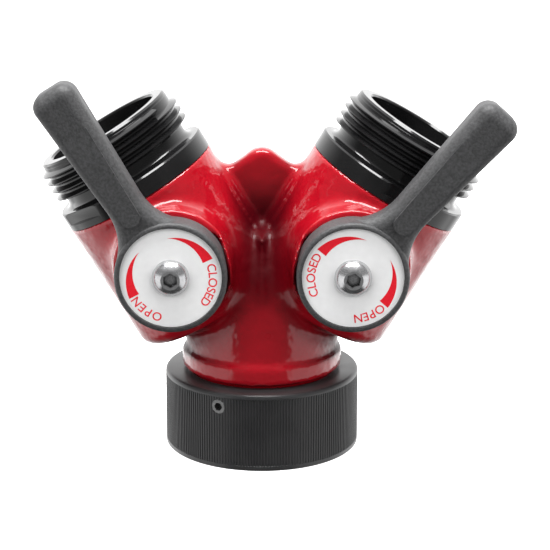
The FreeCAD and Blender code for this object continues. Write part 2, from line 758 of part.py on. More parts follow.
def face_rim(arm, level_at):
    # Edges of the arm around its front or back, without the one that is inside the hub.
    found = []
    for edge in arm.Edges:
        middle = edge.valueAt((edge.FirstParameter + edge.LastParameter) / 2)
        in_hub = abs(middle.x) < 0.01 and middle.y < LEVER_L - 1
        if abs(middle.z - level_at(middle.y)) < 0.01 and not in_hub:
            found.append(edge)
    return found


def lever(side):
    # Lever: hub with dial recess, square hole and stop lug, and an arm with a raised panel.
    hub_r = HUB_D / 2
    hub = turned_ring([
        (0, HUB_BACK, 0),
        (hub_r, HUB_BACK, HUB_ROUND),
        (hub_r, HUB_FRONT, HUB_ROUND),
        (0, HUB_FRONT, 0),
    ])
    blank = arm_outline().extrude(FreeCAD.Vector(0, 0, 2 * HUB_FRONT))
    profile = side_cut([
        (0, LEVER_BACK),
        (LEVER_L + 1, LEVER_BACK),
        (LEVER_L + 1, front_at(LEVER_L + 1)),
        (0, front_at(0)),
    ])
    arm = blank.common(profile)
    arm = arm.makeFillet(LEVER_EDGE_ROUND, face_rim(arm, back_at))
    arm = arm.makeFillet(LEVER_FRONT_ROUND, face_rim(arm, front_at))
    panel = panel_outline().extrude(FreeCAD.Vector(0, 0, 2 * HUB_FRONT))
    panel = panel.common(side_cut([
        (0, HUB_FRONT - PANEL_SINK),
        (PANEL_END, HUB_FRONT - PANEL_SINK),
        (PANEL_END, front_at(PANEL_END) - 0.02),
        (PANEL_AT, HUB_FRONT + PANEL_RISE),
        (0, HUB_FRONT + PANEL_RISE),
    ]))
    piece = hub.fuse([arm, panel])
    piece = piece.cut(rod(DIAL_D / 2 + SLIDE_GAP, DIAL_FLOOR, 2 * HUB_FRONT))
    hole = SQUARE + 2 * SLIDE_GAP
    piece = piece.cut(box(hole, hole, HUB_BACK - 1, HUB_FRONT))
    lug_low = BOSS_FACE - STOP_REACH
    lug = sector(STOP_IN_R, STOP_OUT_R, 270 - STOP_SPAN / 2, STOP_SPAN, lug_low, HUB_BACK + 1)
    piece = piece.fuse(lug)
    return on_stem(piece, side)


def dial(side):
    # Thin round plate in the recess of the hub.
    plate = tube(DIAL_D / 2, SCREW_SHANK_D / 2 + SLIDE_GAP, DIAL_FLOOR, DIAL_FACE)
    return on_stem(plate, side)


def lever_screw(side):
    # Button head screw with a hexagonal socket, through the dial and lever into the stem.
    head_r = SCREW_HEAD_D / 2
    base = flat_point(head_r, DIAL_FACE)
    edge = flat_point(head_r, DIAL_FACE + SCREW_RIM_H)
    top = flat_point(SCREW_TOP_D / 2, DIAL_FACE + SCREW_HEAD_H)
    chord = top - edge
    outward = flat_point(chord.z, -chord.x).normalize()
    mid = (edge + top) * 0.5 + outward * SCREW_BULGE
    axis_top = flat_point(0, DIAL_FACE + SCREW_HEAD_H)
    axis_low = flat_point(0, DIAL_FACE)
    wire = Part.Wire([
        Part.LineSegment(axis_low, base).toShape(),
        Part.LineSegment(base, edge).toShape(),
        Part.Arc(edge, mid, top).toShape(),
        Part.LineSegment(top, axis_top).toShape(),
        Part.LineSegment(axis_top, axis_low).toShape(),
    ])
    head = Part.Face(wire).revolve(ORIGIN, AXIS_Z, 360)
    socket_low = DIAL_FACE + SCREW_HEAD_H - SCREW_HEX_DEPTH
    head = head.cut(hexagon(SCREW_HEX, socket_low, DIAL_FACE + SCREW_HEAD_H + 1))
    shank = rod(SCREW_SHANK_D / 2, DIAL_FACE - SCREW_L, DIAL_FACE)
    return on_stem(head.fuse(shank), side)


os.makedirs("parts", exist_ok=True)
pieces = {
    "wye_body": wye_body(),
    "inlet_coupling": coupling(),
    "inlet_gasket": inlet_gasket(),
    "swivel_seal": swivel_seal(),
    "race_balls": race_balls(),
    "race_plug": race_plug(),
}
for side, name in ((-1, "left"), (1, "right")):
    pieces["adapter_" + name] = adapter(side)
    pieces["adapter_seal_" + name] = adapter_seal(side)
    pieces["outer_seat_" + name] = seat(side, 1)
    pieces["inner_seat_" + name] = seat(side, -1)
    pieces["valve_ball_" + name] = valve_ball(side)
    pieces["stem_" + name] = stem(side)
    pieces["stem_seals_" + name] = stem_seals(side)
    pieces["thrust_washer_" + name] = thrust_washer(side)
    pieces["lever_washer_" + name] = lever_washer(side)
    pieces["lever_" + name] = lever(side)
    pieces["dial_" + name] = dial(side)
    pieces["lever_screw_" + name] = lever_screw(side)
for name, shape in pieces.items():
    shape.exportStep("parts/" + name + ".step")
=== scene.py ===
import bpy
import json
import math
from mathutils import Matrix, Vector


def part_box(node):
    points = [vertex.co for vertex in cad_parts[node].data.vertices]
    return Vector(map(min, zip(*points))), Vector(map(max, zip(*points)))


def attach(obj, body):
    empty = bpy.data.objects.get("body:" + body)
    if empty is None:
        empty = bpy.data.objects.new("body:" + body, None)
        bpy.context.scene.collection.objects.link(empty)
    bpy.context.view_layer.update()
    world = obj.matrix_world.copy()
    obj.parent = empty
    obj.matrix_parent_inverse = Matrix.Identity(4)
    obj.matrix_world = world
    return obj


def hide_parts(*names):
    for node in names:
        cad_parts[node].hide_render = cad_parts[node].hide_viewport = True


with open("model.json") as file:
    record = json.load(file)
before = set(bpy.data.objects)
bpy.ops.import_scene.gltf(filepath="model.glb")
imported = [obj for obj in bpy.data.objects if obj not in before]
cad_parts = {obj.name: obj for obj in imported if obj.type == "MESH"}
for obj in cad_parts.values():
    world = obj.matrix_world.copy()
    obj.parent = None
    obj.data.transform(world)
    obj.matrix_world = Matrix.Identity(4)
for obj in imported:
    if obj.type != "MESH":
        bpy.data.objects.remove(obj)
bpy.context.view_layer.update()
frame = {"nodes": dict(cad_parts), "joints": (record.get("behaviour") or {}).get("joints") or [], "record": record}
nodes = frame["nodes"]
mounts = {mount["name"]: mount for mount in frame["record"]["mounts"]}
hinges = {joint["name"]: joint for joint in frame["joints"]}


# Cast body: a wye with a round neck, two branches and a thin web between them.
# It is aluminium, sand cast and then machined inside, with a thick gloss red powder coat.
# Its mesh is a copy of the solid with an even skin, softened as thick paint softens a casting.
noise_low, noise_high = 0.3, 0.7


def new_finish(name):
    # A material, its shader and the Object coordinates that its patterns read.
    material = bpy.data.materials.new(name)
    material.use_nodes = True
    tree = material.node_tree
    place = tree.nodes.new("ShaderNodeTexCoord")
    return material, tree, tree.nodes["Principled BSDF"], place.outputs["Object"]


def grain(tree, place, scale, detail):
    # Noise of the given number of lumps to the metre.
    noise = tree.nodes.new("ShaderNodeTexNoise")
    noise.inputs["Scale"].default_value = scale
    noise.inputs["Detail"].default_value = detail
    tree.links.new(place, noise.inputs["Vector"])
    return noise.outputs["Fac"]


def fade(tree, value, start, end, low, high, course="SMOOTHSTEP"):
    # Goes from low at start to high at end, and stays there beyond them.
    node = tree.nodes.new("ShaderNodeMapRange")
    node.interpolation_type = course
    node.inputs["From Min"].default_value = start
    node.inputs["From Max"].default_value = end
    node.inputs["To Min"].default_value = low
    node.inputs["To Max"].default_value = high
    tree.links.new(value, node.inputs["Value"])
    return node.outputs["Result"]


def spread(tree, pattern, low, high):
    # Maps the middle of a noise to the range from low to high.
    return fade(tree, pattern, noise_low, noise_high, low, high, "LINEAR")


def tint(tree, pattern, dark, light):
    # A colour between two, by a noise.
    colours = tree.nodes.new("ShaderNodeValToRGB")
    colours.color_ramp.elements[0].position = noise_low
    colours.color_ramp.elements[0].color = (*dark, 1)
    colours.color_ramp.elements[1].position = noise_high
    colours.color_ramp.elements[1].color = (*light, 1)
    tree.links.new(pattern, colours.inputs["Fac"])
    return colours.outputs["Color"]


def relief(tree, height, depth, strength, under=None):
    # Bump of the given depth in metres, laid over another where one is given.
    node = tree.nodes.new("ShaderNodeBump")
    node.inputs["Distance"].default_value = depth
    node.inputs["Strength"].default_value = strength
    tree.links.new(height, node.inputs["Height"])
    if under is not None:
        tree.links.new(under, node.inputs["Normal"])
    return node.outputs["Normal"]


def combine(tree, operation, first, second=None):
    # Arithmetic on one or two values of a material.
    node = tree.nodes.new("ShaderNodeMath")
    node.operation = operation
    tree.links.new(first, node.inputs[0])
    if second is not None:
        tree.links.new(second, node.inputs[1])
    return node.outputs["Value"]


def openness(tree, distance):
    # How open to its own surroundings a spot of a piece is, within a distance in metres.
    node = tree.nodes.new("ShaderNodeAmbientOcclusion")
    node.only_local = True
    node.samples = 12
    node.inputs["Distance"].default_value = distance
    return node.outputs["AO"]


def darken(tree, share, hollow_colour, open_colour):
    # Painted shade: one fixed shade colour where the share is 0, and the open colour where it is 1.
    node = tree.nodes.new("ShaderNodeMix")
    node.data_type = "RGBA"
    node.inputs["A"].default_value = (*hollow_colour, 1)
    tree.links.new(share, node.inputs["Factor"])
    tree.links.new(open_colour, node.inputs["B"])
    return node.outputs["Result"]


def dress(name, material):
    # Gives a CAD node its finish.
    node = nodes[name]
    node.data.materials.clear()
    node.data.materials.append(material)


# Painted shade: the coat's colour is darkened in hollows found by local occlusion, and most of all by a painted
# crease shadow placed between the branches; the coat's gloss is cut there too.
crease_shade_share = 0.15
crease_beside = (0.002, 0.015)
crease_below = (0.044, 0.064)
crease_above = (0.079, 0.092)
hollow_reach, hollow_range = 0.018, (0.55, 0.95)
groove_reach, groove_range = 0.009, (0.70, 0.90)
painted_shade_red = (0.05, 0.0010, 0.003)
dark_red = (0.35, 0.002, 0.009)
light_red = (0.42, 0.003, 0.012)
red_coat, tree, shader, place = new_finish("gloss_red_powder_coat")
swell = grain(tree, place, scale=60, detail=2)
peel = grain(tree, place, scale=300, detail=1)
at = tree.nodes.new("ShaderNodeSeparateXYZ")
tree.links.new(place, at.inputs["Vector"])
from_middle = combine(tree, "ABSOLUTE", at.outputs["X"])
beside = fade(tree, from_middle, *crease_beside, crease_shade_share, 1.0)
below = fade(tree, at.outputs["Z"], *crease_below, 1.0, crease_shade_share)
above = fade(tree, at.outputs["Z"], *crease_above, crease_shade_share, 1.0)
clear_of_crease = combine(tree, "MAXIMUM", combine(tree, "MAXIMUM", beside, below), above)
shelter = fade(tree, openness(tree, hollow_reach), *hollow_range, 0.0, 1.0, "LINEAR")
unshaded_share = combine(tree, "MULTIPLY", shelter, clear_of_crease)
# Painted shade: the red goes to a near black red in hollows and in the crease between the branches.
red_with_painted_shade = darken(tree, unshaded_share, painted_shade_red, tint(tree, swell, dark_red, light_red))
tree.links.new(red_with_painted_shade, shader.inputs["Base Color"])
tree.links.new(spread(tree, swell, low=0.26, high=0.36), shader.inputs["Roughness"])
flow = relief(tree, swell, depth=0.0012, strength=0.40)
skin_waves = relief(tree, peel, depth=0.00040, strength=0.55, under=flow)
tree.links.new(skin_waves, shader.inputs["Normal"])
tree.links.new(skin_waves, shader.inputs["Coat Normal"])
shader.inputs["Specular IOR Level"].default_value = 0.1
dull = fade(tree, openness(tree, groove_reach), *groove_range, 0.0, 1.0, "LINEAR")
gloss = combine(tree, "MULTIPLY", dull, clear_of_crease)
tree.links.new(gloss, shader.inputs["Coat Weight"])
shader.inputs["Coat Roughness"].default_value = 0.05

# Places on the casting, and on a branch from the ball centre.
neck_low, neck_high = 0.0340, 0.0420
waterway_r = 0.0200
barrel_r, barrel_foot, barrel_top = 0.0268, 0.0240, 0.0230
boss_r, boss_rim, boss_root = 0.0160, 0.0030, 0.0200
boss_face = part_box("wye_body")[0].y
web_half, web_low, web_y = 0.0090, 0.0740, 0.00385
bore_wall, foot_wall = 0.0025, 0.0015

# Where the skin starts to flow and flows freely: below the outside, off the collar's seat,
# off the boss's face, and inwards and upwards of the outer foot of a branch.
barrel_skin, boss_skin, free_skin = 0.0022, 0.0018, 0.0006
seat_crisp, seat_free = 0.0030, 0.0090
face_crisp, face_free = 0.0010, 0.0040
foot_inner, foot_outer = 0.024, 0.030
foot_low, foot_high = -0.020, -0.012
least_share = 0.01

# The fill of the shoulders reaches up to fill_high, and the crease is cut between its limits.
fill_high, fill_fade = 0.0660, 0.012
cut_low, cut_high = (0.046, 0.062), (0.090, 0.099)
cut_side = (0.009, 0.014)
skin_size = 0.00065
skin_faces = 190000
flow_step = 0.5
melt_rounds, fill_rounds, settle_rounds = 130, 320, 16
crisp_angle = 40
weld_gap = 0.000001

sides = ("left", "right")
branches = {}
for side in sides:
    ball_centre = Vector(hinges[side + "_lever_turn"]["pos_m"])
    branches[side] = (ball_centre, Vector(mounts["outlet_bore_" + side]["axis"]))


def branch_place(point, side):
    # How far a point is along a branch, from the branch's axis and from the stem's axis.
    valve, axis = branches[side]
    offset = point - valve
    reach = offset.dot(axis)
    from_axis = (offset - reach * axis).length
    from_stem = math.hypot(point.x - valve.x, point.z - valve.z)
    return reach, from_axis, from_stem


def ramp(value, start, end):
    # Goes smoothly from 0 at start to 1 at end.
    share = min(max((value - start) / (end - start), 0.0), 1.0)
    return share * share * (3 - 2 * share)


def softness(point):
    # How freely the casting melts at a point: not in its bores and not at machined ends.
    share = ramp(point.z, neck_low, neck_high)
    for side in sides:
        valve = branches[side][0]
        reach, from_axis, from_stem = branch_place(point, side)
        share *= ramp(from_axis, barrel_r - barrel_skin, barrel_r - free_skin)
        share *= 1 - ramp(reach, barrel_top - seat_free, barrel_top - seat_crisp)
        if valve.x * point.x > 0:
            foot = 1 - ramp(reach, foot_low, foot_high)
            share *= 1 - ramp(abs(point.x), foot_inner, foot_outer) * foot
        if point.y < valve.y - boss_root and from_stem < boss_r + boss_rim:
            share *= ramp(from_stem, boss_r - boss_skin, boss_r - free_skin)
            share *= ramp(point.y, boss_face + face_crisp, boss_face + face_free)
    if abs(point.y) < web_half and point.z > web_low:
        share = 0.0
    return share


def in_bore(point):
    # Whether a point lies on the wall of a valve chamber, a stem bore or the waterway.
    if math.hypot(point.x, point.y) < waterway_r and point.z < neck_high:
        return True
    for side in sides:
        reach, from_axis, from_stem = branch_place(point, side)
        if from_axis < barrel_r - bore_wall and reach > foot_wall - barrel_foot:
            return True
        if point.y < branches[side][0].y and from_stem < boss_r - bore_wall:
            return True
    return False


def let_flow(group, rounds):
    # Smooths the casting where a vertex group lets it move.
    bpy.ops.object.modifier_add(type="SMOOTH")
    flowing = cast_body.modifiers[-1]
    flowing.factor = flow_step
    flowing.iterations = rounds
    flowing.vertex_group = group.name
    bpy.ops.object.modifier_apply(modifier=flowing.name)


def cover(group_name, rounds):
    # Gives the casting an even skin and lets it flow by its softness.
    bpy.ops.object.modifier_add(type="REMESH")
    skin = cast_body.modifiers[-1]
    skin.mode = "VOXEL"
    skin.voxel_size = skin_size
    bpy.ops.object.modifier_apply(modifier=skin.name)
    group = cast_body.vertex_groups.new(name=group_name)
    for corner in cast_body.data.vertices:
        share = softness(corner.co)
        if share > least_share:
            group.add([corner.index], share, "REPLACE")
    let_flow(group, rounds)


cast_body = bpy.data.objects.new("cast_body", nodes["wye_body"].data.copy())
bpy.context.collection.objects.link(cast_body)
bpy.ops.object.select_all(action="DESELECT")
bpy.context.view_layer.objects.active = cast_body
cast_body.select_set(True)
bpy.ops.object.mode_set(mode="EDIT")
bpy.ops.mesh.select_all(action="SELECT")
bpy.ops.mesh.remove_doubles(threshold=weld_gap)
bpy.ops.object.mode_set(mode="OBJECT")
cover("melt", melt_rounds)

# The shoulders are filled: long smoothing, kept only where it moves the skin outwards.
shoulder = cast_body.vertex_groups.new(name="shoulder")
before_fill = []
for corner in cast_body.data.vertices:
    share = softness(corner.co) * (1 - ramp(corner.co.z, fill_high - fill_fade, fill_high))
    if share > least_share:
        shoulder.add([corner.index], share, "REPLACE")
        before_fill.append((corner.index, corner.co.copy(), corner.normal.copy()))
let_flow(shoulder, fill_rounds)
for index, before, outward in before_fill:
    corner = cast_body.data.vertices[index]
    if (corner.co - before).dot(outward) < 0:
        corner.co = before

# The crease is cut back to the round of the barrels and the face of the web.
valve, axis = branches["right"]
for corner in cast_body.data.vertices:
    point = corner.co
    share = ramp(point.z, *cut_low) * (1 - ramp(point.z, *cut_high))
    share *= 1 - ramp(abs(point.x), *cut_side)
    if share > least_share and not in_bore(point):
        from_axis = (valve.x - abs(point.x)) * axis.z + (point.z - valve.z) * axis.x
        floor = max(web_y, math.sqrt(max(barrel_r ** 2 - from_axis ** 2, 0.0)))
        if abs(point.y) > floor:
            point.y += math.copysign(floor - abs(point.y), point.y) * share
cover("melt_again", settle_rounds)

# The bores are hidden, so their skin is thinned out.
bores = cast_body.vertex_groups.new(name="bores")
hidden = [corner.index for corner in cast_body.data.vertices if in_bore(corner.co)]
bores.add(hidden, 1.0, "REPLACE")
bpy.ops.object.modifier_add(type="DECIMATE")
thin = cast_body.modifiers[-1]
triangles = 2 * len(cast_body.data.polygons)
thin.ratio = skin_faces / triangles
thin.vertex_group = bores.name
bpy.ops.object.modifier_apply(modifier=thin.name)
bpy.ops.object.shade_smooth_by_angle(angle=math.radians(crisp_angle))
cast_body.data.materials.clear()
cast_body.data.materials.append(red_coat)
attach(cast_body, "body")
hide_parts("wye_body")


# Swivel coupling: a ring that turns on the neck and screws onto a hose.
# It is aluminium, turned, finely knurled for the hand and hard anodised black.
# A groove inside holds half of the ball race, and a drilled hole lets the balls in.
thread_pitch, thread_depth = 0.002822, 0.00183
thread_crest_w, thread_root_w = 0.00035, 0.00246
thread_sink = 0.0001
thread_steps = 96
turned_angle = 24


def vary(tree, shader, pattern, dark, light, smooth, rough):
    # Lets the colour and the roughness of a finish vary with a noise.
    tree.links.new(tint(tree, pattern, dark, light), shader.inputs["Base Color"])
    tree.links.new(spread(tree, pattern, smooth, rough), shader.inputs["Roughness"])


def quarter_round(corner_r, corner_z, run, shares):
    # Profile points of a round edge, or of a fillet where the run leads out of the corner.
    return [(corner_r + run * out, corner_z + run * up)
            for out, up in zip((0, *shares, 1), (1, *reversed(shares), 0))]


def turn_ring(name, outline, corners):
    # Turns a closed half profile of (radius, height) points about Z, as on a lathe.
    first_r, first_z = outline[0]
    bpy.ops.object.select_all(action="DESELECT")
    bpy.ops.mesh.primitive_circle_add(vertices=corners, radius=first_r, location=(0, 0, first_z))
    ring = bpy.context.active_object
    ring.name = name
    bpy.ops.object.transform_apply(location=True, rotation=True, scale=True)
    bpy.ops.object.mode_set(mode="EDIT")
    bpy.ops.mesh.select_all(action="SELECT")
    for (radius, height), (next_r, next_z) in zip(outline, outline[1:] + outline[:1]):
        bpy.ops.mesh.extrude_edges_move(TRANSFORM_OT_translate={"value": (0, 0, next_z - height)})
        share = next_r / radius
        bpy.ops.transform.resize(value=(share, share, 1), center_override=(0, 0, next_z))
    bpy.ops.mesh.select_all(action="SELECT")
    bpy.ops.mesh.remove_doubles(threshold=2 * weld_gap)
    bpy.ops.mesh.normals_make_consistent(inside=False)
    bpy.ops.object.mode_set(mode="OBJECT")
    return ring


def pick(piece, wanted):
    # Selects the vertices of a piece that pass a test, and leaves it in edit mode.
    bpy.ops.object.mode_set(mode="EDIT")
    bpy.ops.mesh.select_mode(type="VERT")
    bpy.ops.mesh.select_all(action="DESELECT")
    bpy.ops.object.mode_set(mode="OBJECT")
    for corner in piece.data.vertices:
        corner.select = wanted(corner.co)
    bpy.ops.object.mode_set(mode="EDIT")


def drill(piece, cutter):
    # Cuts one object out of another and removes the cutter.
    bpy.ops.object.select_all(action="DESELECT")
    bpy.context.view_layer.objects.active = piece
    piece.select_set(True)
    bpy.ops.object.modifier_add(type="BOOLEAN")
    cut = piece.modifiers[-1]
    cut.operation = "DIFFERENCE"
    cut.solver = "EXACT"
    cut.object = cutter
    bpy.ops.object.modifier_apply(modifier=cut.name)
    bpy.data.objects.remove(cutter)


def helix(name, root_r, crest_r, turns, start):
    # A thread ridge about Z: a tooth section swept by the Screw modifier.
    bpy.ops.object.select_all(action="DESELECT")
    bpy.ops.mesh.primitive_plane_add(size=1, rotation=(math.pi / 2, 0, 0))
    ridge = bpy.context.active_object
    ridge.name = name
    middle = (root_r + crest_r) / 2
    ridge.scale = (abs(crest_r - root_r), thread_root_w, 1)
    ridge.location = (middle, 0, start)
    bpy.ops.object.transform_apply(location=True, rotation=True, scale=True)
    pick(ridge, lambda at: (at.x > middle) == (crest_r > root_r))
    narrow = (1, 1, thread_crest_w / thread_root_w)
    bpy.ops.transform.resize(value=narrow, center_override=(crest_r, 0, start))
    bpy.ops.object.mode_set(mode="OBJECT")
    bpy.ops.object.modifier_add(type="SCREW")
    sweep = ridge.modifiers[-1]
    sweep.angle = 2 * math.pi * turns
    sweep.screw_offset = thread_pitch * turns
    sweep.steps = int(thread_steps * turns)
    sweep.render_steps = sweep.steps
    bpy.ops.object.modifier_apply(modifier=sweep.name)
    bpy.ops.object.mode_set(mode="EDIT")
    bpy.ops.mesh.select_all(action="SELECT")
    bpy.ops.mesh.remove_doubles(threshold=weld_gap)
    bpy.ops.mesh.select_all(action="DESELECT")
    bpy.ops.mesh.select_mode(type="EDGE")
    bpy.ops.mesh.select_non_manifold(extend=False)
    bpy.ops.mesh.fill_holes(sides=8)
    bpy.ops.mesh.select_all(action="SELECT")
    bpy.ops.mesh.normals_make_consistent(inside=False)
    bpy.ops.object.mode_set(mode="OBJECT")
    return ridge


def weld_together(piece, extra):
    # Joins a second mesh to a piece.
    bpy.ops.object.select_all(action="DESELECT")
    extra.select_set(True)
    piece.select_set(True)
    bpy.context.view_layer.objects.active = piece
    bpy.ops.object.join()


def smooth_turning(piece):
    # Smooth shading that keeps the machined edges sharp.
    bpy.ops.object.select_all(action="DESELECT")
    bpy.context.view_layer.objects.active = piece
    piece.select_set(True)
    bpy.ops.object.shade_smooth_by_angle(angle=math.radians(turned_angle))


coupling_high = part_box("inlet_coupling")[1]
coupling_r, coupling_top = coupling_high.x, coupling_high.z
inlet = mounts["inlet_thread"]["dims"]
inlet_crest_r = inlet["r_mm"] / 1000
inlet_root_r = inlet_crest_r + thread_depth
inlet_len = inlet["length_mm"] / 1000
inlet_turns, inlet_start = 3.0, 0.0014
swivel_r = 0.0243
gasket_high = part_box("inlet_gasket")[1]
gasket_gap, gasket_head = 0.0001, 0.0003
gasket_r = gasket_high.x + gasket_gap
gasket_seat = gasket_high.z + gasket_head
race_low, race_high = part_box("race_balls")
race_z = (race_low.z + race_high.z) / 2
race_r = race_high.x
race_mouth, race_flank = 0.0021, 0.0015
race_step, race_gap = 0.0005, 0.0001
mouth_bevel, foot_bevel, lip_bevel = 0.0006, 0.0003, 0.0004
edge_r, edge_shares = 0.0012, (0.08, 0.29, 0.62)
knurl_ribs, rib_corners = 212, 4
knurl_margin = 0.0015
knurl_low, knurl_high = knurl_margin, coupling_top - knurl_margin
knurl_run_out = 0.0002
knurl_depth = 0.00028
wall_skin = 0.00005
outline = [
    (inlet_root_r + mouth_bevel, 0.0),
    (coupling_r - foot_bevel, 0.0),
    (coupling_r, foot_bevel),
    (coupling_r, knurl_low),
    (coupling_r, knurl_low + knurl_run_out),
    (coupling_r, knurl_high - knurl_run_out),
    (coupling_r, knurl_high),
    *quarter_round(coupling_r, coupling_top, -edge_r, edge_shares),
    (swivel_r + lip_bevel, coupling_top),
    (swivel_r, coupling_top - lip_bevel),
    (swivel_r, race_z + race_mouth),
    (race_r - race_step, race_z + race_flank),
    (race_r + race_gap, race_z),
    (race_r - race_step, race_z - race_flank),
    (swivel_r, race_z - race_mouth),
    (swivel_r, gasket_seat),
    (gasket_r, gasket_seat),
    (gasket_r, inlet_len),
    (inlet_root_r, inlet_len),
    (inlet_root_r, mouth_bevel),
]
coupling = turn_ring("coupling_knurled", outline, knurl_ribs * rib_corners)


def in_valley(at):
    # True on the floor of a knurl groove: two of the four corners of each rib.
    turn = math.atan2(at.y, at.x) / (2 * math.pi)
    on_wall = math.hypot(at.x, at.y) > coupling_r - wall_skin
    in_band = knurl_low + knurl_run_out / 2 < at.z < knurl_high - knurl_run_out / 2
    corner = round(turn * knurl_ribs * rib_corners) % rib_corners
    return on_wall and in_band and corner in (1, 2)


pick(coupling, in_valley)
valley = 1 - knurl_depth / coupling_r
bpy.ops.transform.resize(value=(valley, valley, 1), center_override=(0, 0, 0))
bpy.ops.object.mode_set(mode="OBJECT")

plug_bore_r, plug_bore_len = 0.0024, 0.014
plug_low, plug_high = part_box("race_plug")
plug_at = (plug_low + plug_high) / 2
plug_turn = math.atan2(plug_at.y, plug_at.x)
bpy.ops.object.select_all(action="DESELECT")
bpy.ops.mesh.primitive_cylinder_add(
    vertices=48, radius=plug_bore_r, depth=plug_bore_len, location=(0, 0, 0),
    rotation=(0, math.pi / 2, 0))
bore = bpy.context.active_object
bpy.ops.object.transform_apply(location=True, rotation=True, scale=True)
bore.location = (coupling_r * math.cos(plug_turn), coupling_r * math.sin(plug_turn), race_z)
bore.rotation_euler = (0, 0, plug_turn)
drill(coupling, bore)
inlet_ridge = helix(
    "inlet_thread_ridge", inlet_root_r + thread_sink, inlet_crest_r, inlet_turns, inlet_start)
weld_together(coupling, inlet_ridge)
smooth_turning(coupling)

black_coat, tree, shader, place = new_finish("black_satin_anodising")
fine = grain(tree, place, scale=2600, detail=2)
cloud = grain(tree, place, scale=90, detail=2)
vary(tree, shader, cloud, dark=(0.028, 0.028, 0.029), light=(0.037, 0.037, 0.038),
     smooth=0.30, rough=0.40)
tree.links.new(relief(tree, fine, depth=0.00006, strength=0.25), shader.inputs["Normal"])
coupling.data.materials.append(black_coat)
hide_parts("inlet_coupling")
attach(coupling, "inlet")


# Ball race: steel balls between the neck and the coupling, shut in by a set screw.
# Balls and screw are hardened steel, and the screw is blackened.
# They go in through the drilled hole and the screw follows them.
bare_steel, tree, shader, place = new_finish("plain_steel")
shader.inputs["Metallic"].default_value = 1.0
smear = grain(tree, place, scale=500, detail=3)
vary(tree, shader, smear, dark=(0.42, 0.42, 0.43), light=(0.56, 0.56, 0.57),
     smooth=0.28, rough=0.42)
dress("race_balls", bare_steel)

blackened_steel, tree, shader, place = new_finish("blackened_steel")
shader.inputs["Metallic"].default_value = 0.8
smear = grain(tree, place, scale=900, detail=3)
vary(tree, shader, smear, dark=(0.13, 0.13, 0.13), light=(0.26, 0.26, 0.26),
     smooth=0.30, rough=0.45)
dress("race_plug", blackened_steel)


# Seals: the flat gasket in the inlet and the rings on the swivel, adapters and stems.
# All are black moulded rubber, slightly dusty and matt.
# They are pushed into their grooves by hand.
rubber, tree, shader, place = new_finish("black_rubber")
dust = grain(tree, place, scale=900, detail=4)
vary(tree, shader, dust, dark=(0.014, 0.014, 0.014), light=(0.026, 0.026, 0.026),
     smooth=0.55, rough=0.75)
tree.links.new(relief(tree, dust, depth=0.0001, strength=0.2), shader.inputs["Normal"])
dress("inlet_gasket", rubber)
dress("swivel_seal", rubber)
for side in sides:
    dress("adapter_seal_" + side, rubber)
    dress("stem_seals_" + side, rubber)


# Valve balls, stems, seats and washers inside the branches.
# The balls are plated and polished, the stems are steel, the rest is white low friction plastic.
# Each ball floats between its two seats and is turned by the tang of the stem.
plating, tree, shader, place = new_finish("polished_plating")
shader.inputs["Metallic"].default_value = 1.0
wipe = grain(tree, place, scale=160, detail=3)
vary(tree, shader, wipe, dark=(0.62, 0.62, 0.63), light=(0.74, 0.74, 0.75),
     smooth=0.08, rough=0.16)
seat_plastic, tree, shader, place = new_finish("white_seat_plastic")
shader.inputs["Subsurface Weight"].default_value = 0.1
shader.inputs["Subsurface Radius"].default_value = (0.001, 0.001, 0.001)
wax = grain(tree, place, scale=700, detail=3)
vary(tree, shader, wax, dark=(0.74, 0.73, 0.70), light=(0.82, 0.81, 0.78),
     smooth=0.38, rough=0.52)
for side in sides:
    dress("valve_ball_" + side, plating)
    dress("stem_" + side, bare_steel)
    dress("outer_seat_" + side, seat_plastic)
    dress("inner_seat_" + side, seat_plastic)
    dress("thrust_washer_" + side, seat_plastic)
    dress("lever_washer_" + side, seat_plastic)


# Outlet adapters: the threaded nipples that screw into the branches over the ball and seats.
# They are aluminium, turned, with two spanner flats on the collar, and hard anodised black.
# The hose thread is a single right-handed ridge with a blunt start below the plain pilot.
black_gloss, tree, shader, place = new_finish("black_gloss_anodising")
cloud = grain(tree, place, scale=120, detail=2)
fine = grain(tree, place, scale=1800, detail=2)
vary(tree, shader, cloud, dark=(0.007, 0.007, 0.0073), light=(0.011, 0.011, 0.0113),
     smooth=0.08, rough=0.13)
tree.links.new(relief(tree, fine, depth=0.00002, strength=0.1), shader.inputs["Normal"])

